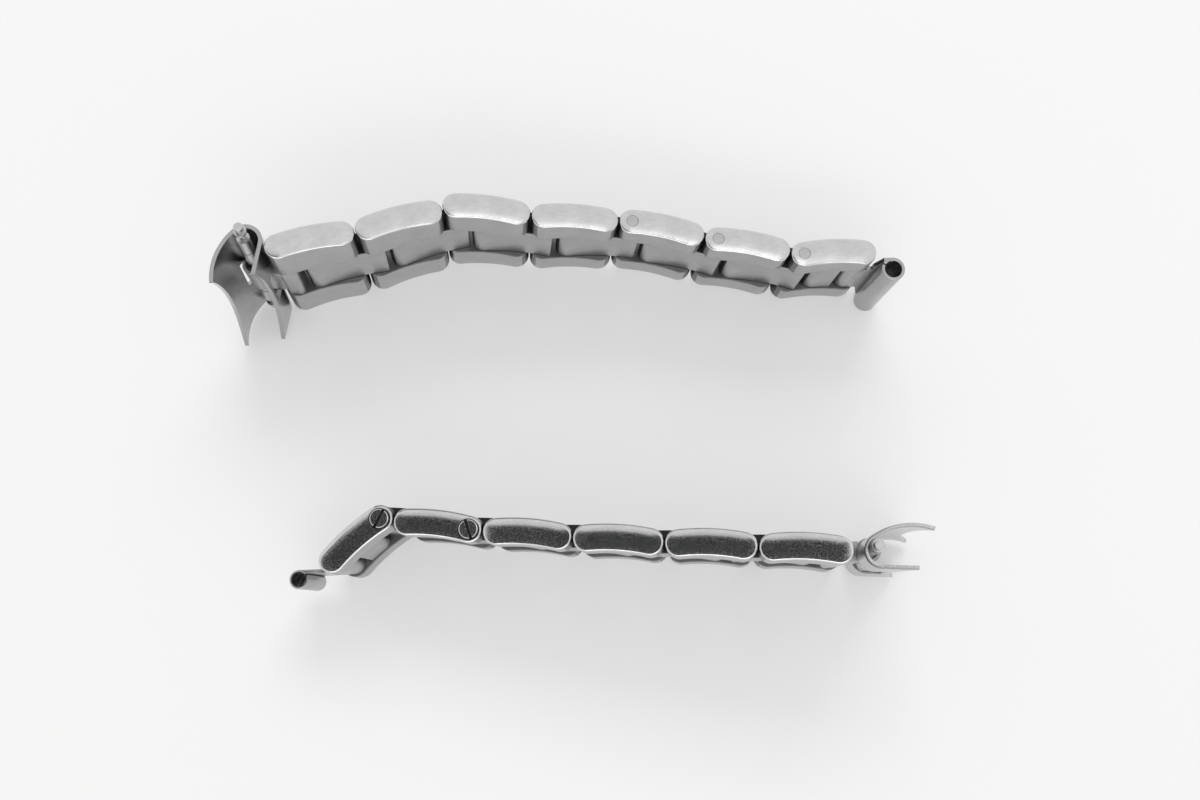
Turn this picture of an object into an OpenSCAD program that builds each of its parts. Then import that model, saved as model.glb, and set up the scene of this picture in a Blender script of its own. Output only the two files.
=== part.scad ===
// Steel watch bracelet with three links to a row, in two halves standing on their lower edges.
// Each half runs from a folded end link, held by a spring bar, to a rolled tube for the clasp.
// A row is an outer link on each side with a centre link between. Pins join the rows.
//
// Lengths are in millimetres. The lug width of 20 is the known size; the rest is scaled from it
// through the perspective of the photograph.
//
// Frames used below
// Half frame: origin at the first pivot pin, +X towards the clasp, +Y to the outer face, Z across.
// Row frame: origin at the row's own pivot pin, in its head end, turned by the row's heading.
// The half that lies on its other side is the same half turned over about Y.

/* [Width] */
// Width across the outer links at the case end
lug_width = 20; // [18:0.5:22]
// Width across the parallel links at the clasp end
clasp_width = 13; // [12:0.5:14]
// Width of the centre links at the case end
centre_width = 7.8; // [7:0.2:8.4]
// Width of the centre links at the clasp end
centre_width_clasp = 6.6; // [6:0.2:7]

/* [Outer links] */
// Thickness of an outer link, and the diameter of its round ends
link_thickness = 2.7; // [2.5:0.05:2.8]
// Distance between the centres of an outer link's two round ends
link_span = 6.1; // [5.8:0.1:6.8]
// Gap between the round ends of neighbouring outer links
link_gap = 0.12; // [0.1:0.02:0.3]
// Radius of an outer link's bend, on its middle line
link_bend = 21; // [18:1:40]
// Bevel round the polished side of an outer link
edge_bevel = 0.28; // [0.16:0.04:0.4]
// Steel left between a hidden pin and the polished side
side_cap = 0.6; // [0.5:0.1:1]

/* [Centre links] */
// Thickness of a centre link
centre_thickness = 2.3; // [2.1:0.05:2.4]
// Radius of a centre link's bend, on its middle line
centre_bend = 30; // [24:2:50]
// Gap on each side between a centre link and the outer links
side_clearance = 0.06; // [0.04:0.01:0.08]
// Radius that a centre link's end reaches round the pivot pin
knuckle_radius = 1.27; // [1.2:0.01:1.29]
// How far past the pivot pin a centre link's flat nose stands
nose_reach = 0.95; // [0.85:0.05:1]

/* [Pins and screws] */
// Diameter of the pins
pin_diameter = 1.2; // [1:0.05:1.3]
// Clearance of a turning link on its pin, on the radius
pivot_clearance = 0.03; // [0.02:0.01:0.04]
// Clearance of a pressed or screwed pin in its hole, on the radius
seat_clearance = 0.01; // [0.01:0.005:0.02]
// Diameter of a screw's head
screw_head_diameter = 2; // [1.8:0.1:2.1]
// Height of a screw's head
screw_head_height = 0.95; // [0.7:0.05:1.1]
// Width of a screw's slot
slot_width = 0.3; // [0.2:0.05:0.4]
// Depth of a screw's slot
slot_depth = 0.45; // [0.3:0.05:0.5]

/* [End link] */
// Thickness of the end link's folded sheet
sheet = 0.4; // [0.3:0.05:0.45]
// Length of the outer shell, from the spring bar to its horns
horn_length = 5.7; // [5.2:0.1:6.2]
// Length of the flap behind the case
flap_length = 3.4; // [2.6:0.05:3.6]
// Depth of the hollow that lets the round case in
case_hollow = 1.5; // [1:0.1:1.6]
// Width of the notch for the first centre link
notch_width = 5.9; // [5.8:0.1:6.4]

/* [Spring bar] */
// Diameter of the spring bar's barrel
barrel_diameter = 1.3; // [1.2:0.05:1.35]
// Length of the spring bar's barrel
barrel_length = 16.6; // [16:0.1:17]
// Diameter of a tip's end pin, which goes into the lug
tip_diameter = 0.9; // [0.8:0.05:1]
// How far a tip stands out of the barrel
tip_reach = 2.9; // [2.6:0.1:3]
// Distance from the spring bar to the first pivot pin
first_reach = 3.5; // [3.4:0.05:3.8]
// How far the loose spring bar stands up through the hook, on its lower tip
bar_lift = 1; // [0.9:0.1:1.2]
// Width of the first centre link's hook round the spring bar
hook_width = 5.6; // [5:0.1:5.7]
// Outer diameter of the hook
hook_diameter = 2.45; // [2.4:0.05:2.5]

/* [Clasp tubes] */
// Outer diameter of the long clasp tube
long_tube_diameter = 2.4; // [2.2:0.1:2.6]
// Bore of the long clasp tube
long_tube_bore = 1.75; // [1.6:0.05:1.8]
// Length of the long clasp tube
long_tube_length = 12.6; // [12:0.1:12.8]
// Outer diameter of the short clasp tube
short_tube_diameter = 1.9; // [1.8:0.1:2.1]
// Bore of the short clasp tube
short_tube_bore = 1.4; // [1.2:0.05:1.45]
// Length of the short clasp tube
short_tube_length = 7.2; // [6.8:0.1:8]
// Thickness of the connectors' sheet
leaf_sheet = 0.4; // [0.3:0.05:0.45]

/* [Hidden] */
$fn = 96;
// Rows over which the width comes down, counted from the case
taper_rows = 4;
// Headings of the rows in the photograph, in degrees, from the case end to the clasp end
upper_headings = [15, 18, -4, -1, -11, -9, 3];
lower_headings = [3, 3, 4, 5, 7, -41];
// Headings of the first centre links and of the end links
upper_first_heading = -3;
lower_first_heading = -5;
upper_end_heading = 64;
lower_end_heading = -15;
// Tilt of the upper end link and its spring bar in the loose hook
upper_end_tilt = -4.7;
// Turns of the clasp connectors in their rows
upper_leaf_turn = 0;
lower_leaf_turn = 38;
// Plan positions of the two halves' first pivot pins
upper_plan = [-28.898, 13.04];
lower_plan = [26.102, -16.13];
// Roll of the lower half towards its underside, and what it rises for that
lower_roll = 2;
roll_rise = 0.05;
// What the lowest edge at the case end hangs below half the lug width
edge_drop = 0.07;

upper_rows = len(upper_headings);
lower_rows = len(lower_headings);
end_radius = link_thickness / 2;
pitch = link_span + link_thickness + link_gap;
// The round ends are cut this much slimmer, so that they end inside the bend's own band
end_trim = 0.02;
// Overrun of cuts
over = 1;
// Larger than any part, for cutting blocks
far = 60;
bevel_margin = 0.1;
// Degrees by which the slab that bevels a side runs past the link's two ends
slab_lap = 0.2;

// Row layout, measured along the row from its pivot pin
head_round_x = 2.5;
head_round_y = 0.15;
head_round_radius = centre_thickness / 2 - end_trim;
fixed_pin_x = 5;
fixed_pin_y = 0.15;
block_pin_x = 3.35;
block_end_x = 4.45;
leaf_pin_x = link_span;
knuckle_leaf_radius = 1.1;

pin_radius = pin_diameter / 2;
pivot_bore_radius = pin_radius + pivot_clearance;
seat_bore_radius = pin_radius + seat_clearance;
// Play at the end of a hidden pin
pin_end_play = 0.05;
tip_flush = 0.02;
// Lap of a screw's rod into its head
rod_lap = 0.5;
// Directions of the screws' slots, from the first screwed row on
upper_slots = [70, 20, 115];
lower_slots = [65, -22];
// The first centre link's tongue: thinner than its knuckle by this on each face, and its lap
tongue_inset = 0.15;
tongue_lap = 0.5;

// Spring bar details
barrel_bore_radius = 0.45;
barrel_lip = 0.3;
barrel_lip_radius = 0.29;
groove_depth = 0.08;
groove_width = 0.25;
groove_offset = 5.3;
tip_head_radius = barrel_bore_radius - 0.03;
tip_head_length = 0.6;
tip_waist_radius = barrel_lip_radius - 0.03;
tip_flange_radius = 0.62;
tip_flange_length = 0.35;
tip_pin_length = 1.1;
tip_chamfer = 0.12;
// Laps between a tip's own steps
tip_lap = 0.25;
spring_radius = 0.32;
spring_bore_radius = 0.22;
spring_play = 0.02;
bar_play = 0.03;
// The hook's bore is wide enough for the spring bar to tilt in it
hook_bore_radius = barrel_diameter / 2 + bar_play + hook_width / 2 * tan(-upper_end_tilt);

// End link section: a wrap round the bar, a long shell outside and a flap inside
wrap_centre = [-0.35, -0.5];
wrap_radius = 1.7;
shell_radius = 6.5;
shell_join = 70;
flap_join = -73;
shell_centre = wrap_centre - (shell_radius - wrap_radius) * [cos(shell_join), sin(shell_join)];
notch_front = 1.1;
// The shell is drawn this many degrees past the horns, and the flap this far, and both are cut
horn_lap = 4;
edge_margin = 0.5;
// Between the flap and the shell, where one cut ends and the other begins
case_split = -1.2;
arc_steps = 24;
end_play = 0.1;
end_half = lug_width / 2 - end_play;
case_radius = (pow(end_half, 2) + pow(case_hollow, 2)) / 2 / case_hollow;

// Connector details
long_leaf_length = 2.97;
short_leaf_length = 4.1;
leaf_shoulder = 1.55;
leaf_shoulder_width = 8.6;
leaf_flare_x = 2.1;
leaf_inset = 0.03;
tube_seam = 0.12;
seam_angle = 148;

function half_width(s) =
    lug_width / 2 - min(s, taper_rows) * (lug_width - clasp_width) / 2 / taper_rows;
function centre_half(s) =
    centre_width / 2 - min(s, taper_rows) * (centre_width - centre_width_clasp) / 2 / taper_rows;
// Half width of row i at x along it
function side_at(i, x) = half_width(i - 1) + (half_width(i) - half_width(i - 1)) * x / pitch;
function centre_at(i, x) = centre_half(i - 1) + (centre_half(i) - centre_half(i - 1)) * x / pitch;
// Pivot pin of row i in the half frame
function pivot(headings, i) =
    i <= 1 ? [0, 0] : pivot(headings, i - 1) + pitch * [cos(headings[i - 2]), sin(headings[i - 2])];
function clasp_end_x(headings) =
    pivot(headings, len(headings))[0] + link_span * cos(headings[len(headings) - 1]);
// A half stands on its wide end and its narrow end, so it leans by this much
function lean(headings) = atan((lug_width - clasp_width) / 2 / clasp_end_x(headings));
upper_lean = lean(upper_headings);
lower_lean = lean(lower_headings);
function stand_height(angle) = (lug_width / 2 + edge_drop) * cos(angle);

module upper_half() {
    translate([upper_plan[0], upper_plan[1], stand_height(upper_lean)])
        rotate([0, upper_lean, 0])
            children();
}

module lower_half() {
    translate([lower_plan[0], lower_plan[1], stand_height(lower_lean) + roll_rise])
        rotate([lower_roll, 0, 0])
            rotate([0, 180 - lower_lean, 0])
                children();
}

module at_row(headings, i) {
    place = pivot(headings, i);
    translate([place[0], place[1], 0])
        rotate([0, 0, headings[i - 1]])
            children();
}

module upper_row(i) {
    upper_half()
        at_row(upper_headings, i)
            children();
}

module lower_row(i) {
    lower_half()
        at_row(lower_headings, i)
            children();
}

// Frame with its origin on the spring bar
module at_bar(first_heading, heading) {
    translate([-first_reach * cos(first_heading), -first_reach * sin(first_heading), 0])
        rotate([0, 0, heading])
            children();
}

module upper_bar(heading) {
    upper_half()
        at_bar(upper_first_heading, heading)
            children();
}

// The same for what tilts with the upper spring bar
module upper_tilted_bar(heading) {
    upper_half()
        at_bar(upper_first_heading, 0)
            rotate([upper_end_tilt, 0, 0])
                rotate([0, 0, heading])
                    children();
}

module lower_bar(heading) {
    lower_half()
        at_bar(lower_first_heading, heading)
            children();
}

// The loose spring bars, pushed up in their hooks
module upper_loose_bar() {
    upper_tilted_bar(0)
        translate([0, 0, bar_lift])
            children();
}

module lower_loose_bar() {
    lower_bar(0)
        translate([0, 0, -bar_lift])
            children();
}

// Rod across the bracelet between two places on the Z axis
module cross_rod(radius, from, to) {
    translate([0, 0, from])
        cylinder(r = radius, h = to - from);
}

// Wedge between two slanted side planes, through from outer face to underside
module side_wedge(half_from, half_to, x_from, x_to) {
    rotate([90, 0, 0])
        linear_extrude(far, center = true)
            polygon([
                [x_from, -half_from],
                [x_to, -half_to],
                [x_to, half_to],
                [x_from, half_from]
            ]);
}

// Bent band in the plane of the row, cut along the radii through two places on its middle line
module bent_band(from, to, bend, thickness) {
    middle = (from + to) / 2;
    chord = norm(to - from);
    along = (to - from) / chord;
    centre = middle + sqrt(pow(bend, 2) - pow(chord / 2, 2)) * [along[1], -along[0]];
    intersection() {
        translate(centre)
            difference() {
                circle(r = bend + thickness / 2, $fn = 360);
                circle(r = bend - thickness / 2, $fn = 360);
            }
        polygon([centre, centre + 2 * (from - centre), centre + 2 * (to - centre)]);
    }
}

module outer_outline() {
    bent_band([0, 0], [link_span, 0], link_bend, link_thickness);
    circle(r = end_radius - end_trim);
    translate([link_span, 0])
        circle(r = end_radius - end_trim);
}

// Bevelled slab that shapes one polished side; its top is the side face
module bevelled_side(span) {
    grow = edge_bevel + bevel_margin;
    half_angle = asin(span / 2 / link_bend);
    translate([span / 2, -sqrt(pow(link_bend, 2) - pow(span / 2, 2)), 0])
        rotate([0, 0, 90 - half_angle - slab_lap])
            rotate_extrude(angle = 2 * (half_angle + slab_lap), $fn = 360)
                polygon([
                    [link_bend - end_radius + edge_bevel, 0],
                    [link_bend - end_radius - bevel_margin, -grow],
                    [link_bend + end_radius + bevel_margin, -grow],
                    [link_bend + end_radius - edge_bevel, 0]
                ]);
    for (x = [0, span])
        translate([x, 0, -grow])
            cylinder(
                r1 = end_radius - end_trim + bevel_margin,
                r2 = end_radius - end_trim - edge_bevel,
                h = grow
            );
    translate([-far / 2, -far / 2, -far - edge_bevel - bevel_margin / 2])
        cube(far);
}

// Both outer links of a row, before their holes
module outer_blanks(i) {
    slant = atan((half_width(i) - half_width(i - 1)) / pitch);
    inner_from = centre_half(i - 1) + side_clearance;
    inner_slope = (centre_half(i) - centre_half(i - 1)) / pitch;
    difference() {
        intersection() {
            linear_extrude(far, center = true)
                outer_outline();
            for_side(1, i, slant);
            for_side(-1, i, slant);
        }
        side_wedge(
            inner_from - inner_slope * 2 * over,
            inner_from + inner_slope * (pitch + over),
            -2 * over,
            pitch + over
        );
    }
}

module for_side(side, i, slant) {
    mirror([0, 0, side < 0 ? 1 : 0])
        translate([0, 0, half_width(i - 1)])
            rotate([0, -slant, 0])
                bevelled_side(link_span / cos(slant));
}

// Blind hole across both outer links
module hidden_hole(i, x, y, radius) {
    reach = side_at(i, x) - side_cap;
    translate([x, y, 0])
        cross_rod(radius, -reach, reach);
}

module hidden_pin(i, x, y) {
    reach = side_at(i, x) - side_cap - pin_end_play;
    translate([x, y, 0])
        cross_rod(pin_radius, -reach, reach);
}

// Outer links of a row with a plain pivot pin
module plain_pair(i) {
    difference() {
        outer_blanks(i);
        hidden_hole(i, 0, 0, seat_bore_radius);
        hidden_hole(i, fixed_pin_x, fixed_pin_y, seat_bore_radius);
    }
}

// Hole for a screw, with the counterbore for its head on the -Z side
module screw_hole() {
    reach = clasp_width / 2;
    cross_rod(seat_bore_radius, -reach - over, reach + over);
    cross_rod(
        screw_head_diameter / 2 + pivot_clearance,
        -reach - over,
        -reach + screw_head_height + pivot_clearance
    );
}

module screwed_pair(i) {
    difference() {
        outer_blanks(i);
        screw_hole();
        hidden_hole(i, fixed_pin_x, fixed_pin_y, seat_bore_radius);
    }
}

module last_pair(i) {
    difference() {
        outer_blanks(i);
        screw_hole();
        hidden_hole(i, block_pin_x, fixed_pin_y, seat_bore_radius);
        hidden_hole(i, leaf_pin_x, 0, seat_bore_radius);
    }
}

// Screw that is also the pivot pin; slot_turn is the slot's direction
module screw(slot_turn) {
    reach = clasp_width / 2 - tip_flush;
    difference() {
        union() {
            cross_rod(pin_radius, -reach + screw_head_height - rod_lap, reach);
            cross_rod(screw_head_diameter / 2, -reach, -reach + screw_head_height);
        }
        translate([0, 0, -reach])
            rotate([0, 0, slot_turn])
                cube([far, slot_width, 2 * slot_depth], center = true);
    }
}

module plain_pins(i) {
    hidden_pin(i, 0, 0);
    hidden_pin(i, fixed_pin_x, fixed_pin_y);
}

module screwed_pins(i) {
    hidden_pin(i, fixed_pin_x, fixed_pin_y);
}

module last_pins(i) {
    hidden_pin(i, block_pin_x, fixed_pin_y);
    hidden_pin(i, leaf_pin_x, 0);
}

// The part of a link's end that may reach past the next pivot pin
module knuckle_limit(pin_x) {
    intersection() {
        union() {
            translate([-far, -far / 2])
                square([pin_x + far, far]);
            translate([pin_x, 0])
                circle(r = knuckle_radius);
        }
        translate([-far, -far / 2])
            square([pin_x + nose_reach + far, far]);
    }
}

module centre_outline() {
    head = [head_round_x, head_round_y];
    along = ([pitch, 0] - head) / norm([pitch, 0] - head);
    translate(head)
        circle(r = head_round_radius);
    intersection() {
        bent_band(head, [pitch, 0] + along * 2 * nose_reach, centre_bend, centre_thickness);
        knuckle_limit(pitch);
    }
}

// Centre link fixed in row i, turning on the pivot pin of the next row
module centre_link(i) {
    difference() {
        intersection() {
            linear_extrude(far, center = true)
                centre_outline();
            side_wedge(
                centre_at(i, 0),
                centre_at(i, pitch + 2 * over),
                0,
                pitch + 2 * over
            );
        }
        translate([fixed_pin_x, fixed_pin_y, 0])
            cross_rod(seat_bore_radius, -far / 2, far / 2);
        translate([pitch, 0, 0])
            cross_rod(pivot_bore_radius, -far / 2, far / 2);
    }
}

// First centre link: a hook on the spring bar and a knuckle in the first row's fork
module first_link() {
    hook_half = hook_width / 2;
    tongue_half = centre_thickness / 2 - tongue_inset;
    knuckle_start = first_reach - knuckle_radius;
    difference() {
        union() {
            cross_rod(hook_diameter / 2, -hook_half, hook_half);
            translate([0, -tongue_half, -hook_half])
                cube([knuckle_start + tongue_lap, 2 * tongue_half, hook_width]);
            intersection() {
                translate([0, 0, -centre_width / 2])
                    linear_extrude(centre_width)
                        intersection() {
                            translate([knuckle_start, -centre_thickness / 2])
                                square([2 * knuckle_radius, centre_thickness]);
                            translate([first_reach, 0])
                                circle(r = knuckle_radius);
                            knuckle_limit(first_reach);
                        }
            }
        }
        cross_rod(hook_bore_radius, -far / 2, far / 2);
        translate([first_reach, 0, 0])
            cross_rod(pivot_bore_radius, -far / 2, far / 2);
    }
}

// Fixed middle block of the last row
module middle_block(i) {
    half = centre_half(i);
    difference() {
        translate([0, 0, -half])
            linear_extrude(2 * half)
                union() {
                    translate([head_round_x, head_round_y])
                        circle(r = head_round_radius);
                    bent_band(
                        [head_round_x, head_round_y],
                        [block_end_x, fixed_pin_y],
                        link_bend,
                        centre_thickness
                    );
                }
        translate([block_pin_x, fixed_pin_y, 0])
            cross_rod(seat_bore_radius, -far / 2, far / 2);
    }
}

// Clasp connector: a knuckle on the last row's pin, a leaf below it and a rolled tube
module connector(leaf_length, tube_diameter, tube_bore, tube_length, shoulder_width) {
    knuckle_half = centre_half(taper_rows) - side_clearance / 2;
    leaf_top = leaf_sheet - knuckle_leaf_radius;
    tube_y = leaf_top - tube_diameter / 2;
    difference() {
        union() {
            cross_rod(knuckle_leaf_radius, -knuckle_half, knuckle_half);
            translate([leaf_length, tube_y, 0])
                cross_rod(tube_diameter / 2, -tube_length / 2, tube_length / 2);
            translate([0, leaf_top - leaf_sheet + leaf_inset, 0])
                rotate([-90, 0, 0])
                    linear_extrude(leaf_sheet - 2 * leaf_inset)
                        polygon([
                            [0, -knuckle_half],
                            [leaf_shoulder, -knuckle_half],
                            [leaf_shoulder, -shoulder_width / 2],
                            [leaf_flare_x, -tube_length / 2],
                            [leaf_length, -tube_length / 2],
                            [leaf_length, tube_length / 2],
                            [leaf_flare_x, tube_length / 2],
                            [leaf_shoulder, shoulder_width / 2],
                            [leaf_shoulder, knuckle_half],
                            [0, knuckle_half]
                        ]);
        }
        cross_rod(pivot_bore_radius, -far / 2, far / 2);
        translate([leaf_length, tube_y, 0]) {
            cross_rod(tube_bore / 2, -far / 2, far / 2);
            rotate([0, 0, seam_angle])
                translate([0, -tube_seam / 2, -far / 2])
                    cube([tube_diameter / 2 + bevel_margin, tube_seam, far]);
        }
    }
}

module upper_connector_place() {
    upper_row(upper_rows)
        translate([leaf_pin_x, 0, 0])
            rotate([0, 0, upper_leaf_turn])
                children();
}

module lower_connector_place() {
    lower_row(lower_rows)
        translate([leaf_pin_x, 0, 0])
            rotate([0, 0, lower_leaf_turn])
                children();
}

// Points along an arc, from the one numbered first
function arc(centre, radius, from, to, first) = [
    for (k = [first:arc_steps])
        let (turn = from + (to - from) * k / arc_steps)
            centre + radius * [cos(turn), sin(turn)]
];

// Takes away what the round case fills, with the edge's two ends at -tip_x, between two heights
module case_cut(tip_x, low, high) {
    intersection() {
        translate([-tip_x - sqrt(pow(case_radius, 2) - pow(end_half, 2)), 0, 0])
            rotate([90, 0, 0])
                cylinder(r = case_radius, h = far, center = true, $fn = 360);
        translate([-far, low, -far / 2])
            cube([far, high - low, far]);
    }
}

// Folded sheet: the shell's arc, the wrap's arc and the straight flap, and back on the inside
module end_link_section(horn_end, flap_tip) {
    normal = [cos(flap_join), sin(flap_join)];
    linear_extrude(2 * end_half, center = true)
        polygon(concat(
            arc(shell_centre, shell_radius, horn_end, shell_join, 0),
            arc(wrap_centre, wrap_radius, shell_join, flap_join, 1),
            [flap_tip, flap_tip - sheet * normal],
            arc(wrap_centre, wrap_radius - sheet, flap_join, shell_join, 0),
            arc(shell_centre, shell_radius - sheet, shell_join, horn_end, 1)
        ));
}

module end_link() {
    along = [sin(flap_join), -cos(flap_join)];
    join = wrap_centre + wrap_radius * [cos(flap_join), sin(flap_join)];
    flap_tip = join + flap_length * along;
    horn_end = 180 - acos((shell_centre[0] + horn_length) / shell_radius) + horn_lap;
    difference() {
        end_link_section(horn_end, flap_tip + edge_margin * along);
        case_cut(horn_length, case_split, far / 2);
        case_cut(-flap_tip[0], -far / 2, case_split);
        translate([-notch_front, -far / 2, -notch_width / 2])
            cube([far, far, notch_width]);
    }
}

module spring_barrel() {
    half = barrel_length / 2;
    radius = barrel_diameter / 2;
    difference() {
        cross_rod(radius, -half, half);
        cross_rod(barrel_bore_radius, -half + barrel_lip, half - barrel_lip);
        cross_rod(barrel_lip_radius, -half - over, half + over);
        for (side = [-1, 1])
            translate([0, 0, side * groove_offset])
                difference() {
                    cross_rod(radius + over, -groove_width / 2, groove_width / 2);
                    cross_rod(radius - groove_depth, -groove_width, groove_width);
                }
    }
}

// Sprung tip on the +Z side of the bar
module spring_tip() {
    half = barrel_length / 2;
    end = half + tip_reach;
    head_end = half - barrel_lip - spring_play;
    cross_rod(tip_head_radius, head_end - tip_head_length, head_end);
    cross_rod(tip_waist_radius, head_end - tip_lap, end - tip_pin_length);
    cross_rod(
        tip_flange_radius,
        end - tip_pin_length - tip_flange_length,
        end - tip_pin_length
    );
    cross_rod(tip_diameter / 2, end - tip_pin_length - tip_lap, end - tip_chamfer);
    translate([0, 0, end - tip_chamfer])
        cylinder(r1 = tip_diameter / 2, r2 = tip_diameter / 2 - tip_chamfer, h = tip_chamfer);
}

// The coil between the two tips, drawn as its envelope
module coil() {
    reach = barrel_length / 2 - barrel_lip - tip_head_length - 2 * spring_play;
    difference() {
        cross_rod(spring_radius, -reach, reach);
        cross_rod(spring_bore_radius, -far / 2, far / 2);
    }
}

module upper_outer_links_1() color("silver") upper_row(1) plain_pair(1);
module upper_outer_links_2() color("silver") upper_row(2) plain_pair(2);
module upper_outer_links_3() color("silver") upper_row(3) plain_pair(3);
module upper_outer_links_4() color("silver") upper_row(4) plain_pair(4);
module upper_outer_links_5() color("silver") upper_row(5) screwed_pair(5);
module upper_outer_links_6() color("silver") upper_row(6) screwed_pair(6);
module upper_outer_links_7() color("silver") upper_row(7) last_pair(7);
module upper_first_centre_link() color("gainsboro") upper_bar(upper_first_heading) first_link();
module upper_centre_link_1() color("gainsboro") upper_row(1) centre_link(1);
module upper_centre_link_2() color("gainsboro") upper_row(2) centre_link(2);
module upper_centre_link_3() color("gainsboro") upper_row(3) centre_link(3);
module upper_centre_link_4() color("gainsboro") upper_row(4) centre_link(4);
module upper_centre_link_5() color("gainsboro") upper_row(5) centre_link(5);
module upper_centre_link_6() color("gainsboro") upper_row(6) centre_link(6);
module upper_middle_block() color("gainsboro") upper_row(7) middle_block(7);
module upper_pins_1() color("dimgray") upper_row(1) plain_pins(1);
module upper_pins_2() color("dimgray") upper_row(2) plain_pins(2);
module upper_pins_3() color("dimgray") upper_row(3) plain_pins(3);
module upper_pins_4() color("dimgray") upper_row(4) plain_pins(4);
module upper_pins_5() color("dimgray") upper_row(5) screwed_pins(5);
module upper_pins_6() color("dimgray") upper_row(6) screwed_pins(6);
module upper_pins_7() color("dimgray") upper_row(7) last_pins(7);
module upper_screw_5() color("darkgray") upper_row(5) screw(upper_slots[0]);
module upper_screw_6() color("darkgray") upper_row(6) screw(upper_slots[1]);
module upper_screw_7() color("darkgray") upper_row(7) screw(upper_slots[2]);
module upper_clasp_connector() color("silver")
    upper_connector_place()
        connector(
            long_leaf_length,
            long_tube_diameter,
            long_tube_bore,
            long_tube_length,
            leaf_shoulder_width
        );
module upper_end_link() color("lightgray") upper_tilted_bar(upper_end_heading) end_link();
module upper_spring_bar_barrel() color("darkgray") upper_loose_bar() spring_barrel();
module upper_spring_bar_tip_a() color("lightgray") upper_loose_bar() spring_tip();
module upper_spring_bar_tip_b() color("lightgray") upper_loose_bar() mirror([0, 0, 1]) spring_tip();
module upper_spring() color("gray") upper_loose_bar() coil();

module lower_outer_links_1() color("silver") lower_row(1) plain_pair(1);
module lower_outer_links_2() color("silver") lower_row(2) plain_pair(2);
module lower_outer_links_3() color("silver") lower_row(3) plain_pair(3);
module lower_outer_links_4() color("silver") lower_row(4) plain_pair(4);
module lower_outer_links_5() color("silver") lower_row(5) screwed_pair(5);
module lower_outer_links_6() color("silver") lower_row(6) last_pair(6);
module lower_first_centre_link() color("gainsboro") lower_bar(lower_first_heading) first_link();
module lower_centre_link_1() color("gainsboro") lower_row(1) centre_link(1);
module lower_centre_link_2() color("gainsboro") lower_row(2) centre_link(2);
module lower_centre_link_3() color("gainsboro") lower_row(3) centre_link(3);
module lower_centre_link_4() color("gainsboro") lower_row(4) centre_link(4);
module lower_centre_link_5() color("gainsboro") lower_row(5) centre_link(5);
module lower_middle_block() color("gainsboro") lower_row(6) middle_block(6);
module lower_pins_1() color("dimgray") lower_row(1) plain_pins(1);
module lower_pins_2() color("dimgray") lower_row(2) plain_pins(2);
module lower_pins_3() color("dimgray") lower_row(3) plain_pins(3);
module lower_pins_4() color("dimgray") lower_row(4) plain_pins(4);
module lower_pins_5() color("dimgray") lower_row(5) screwed_pins(5);
module lower_pins_6() color("dimgray") lower_row(6) last_pins(6);
module lower_screw_5() color("darkgray") lower_row(5) screw(lower_slots[0]);
module lower_screw_6() color("darkgray") lower_row(6) screw(lower_slots[1]);
module lower_clasp_connector() color("silver")
    lower_connector_place()
        connector(
            short_leaf_length,
            short_tube_diameter,
            short_tube_bore,
            short_tube_length,
            2 * centre_half(taper_rows) - side_clearance
        );
module lower_end_link() color("lightgray") lower_bar(lower_end_heading) end_link();
module lower_spring_bar_barrel() color("darkgray") lower_loose_bar() spring_barrel();
module lower_spring_bar_tip_a() color("lightgray") lower_loose_bar() spring_tip();
module lower_spring_bar_tip_b() color("lightgray") lower_loose_bar() mirror([0, 0, 1]) spring_tip();
module lower_spring() color("gray") lower_loose_bar() coil();

upper_end_link();
upper_spring_bar_barrel();
upper_spring_bar_tip_a();
upper_spring_bar_tip_b();
upper_spring();
upper_first_centre_link();
upper_outer_links_1();
upper_centre_link_1();
upper_pins_1();
upper_outer_links_2();
upper_centre_link_2();
upper_pins_2();
upper_outer_links_3();
upper_centre_link_3();
upper_pins_3();
upper_outer_links_4();
upper_centre_link_4();
upper_pins_4();
upper_outer_links_5();
upper_centre_link_5();
upper_pins_5();
upper_screw_5();
upper_outer_links_6();
upper_centre_link_6();
upper_pins_6();
upper_screw_6();
upper_outer_links_7();
upper_middle_block();
upper_pins_7();
upper_screw_7();
upper_clasp_connector();
lower_end_link();
lower_spring_bar_barrel();
lower_spring_bar_tip_a();
lower_spring_bar_tip_b();
lower_spring();
lower_first_centre_link();
lower_outer_links_1();
lower_centre_link_1();
lower_pins_1();
lower_outer_links_2();
lower_centre_link_2();
lower_pins_2();
lower_outer_links_3();
lower_centre_link_3();
lower_pins_3();
lower_outer_links_4();
lower_centre_link_4();
lower_pins_4();
lower_outer_links_5();
lower_centre_link_5();
lower_pins_5();
lower_screw_5();
lower_outer_links_6();
lower_middle_block();
lower_pins_6();
lower_screw_6();
lower_clasp_connector();
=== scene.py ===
import math

import bmesh
import bpy
from mathutils import Matrix, Vector


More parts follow.
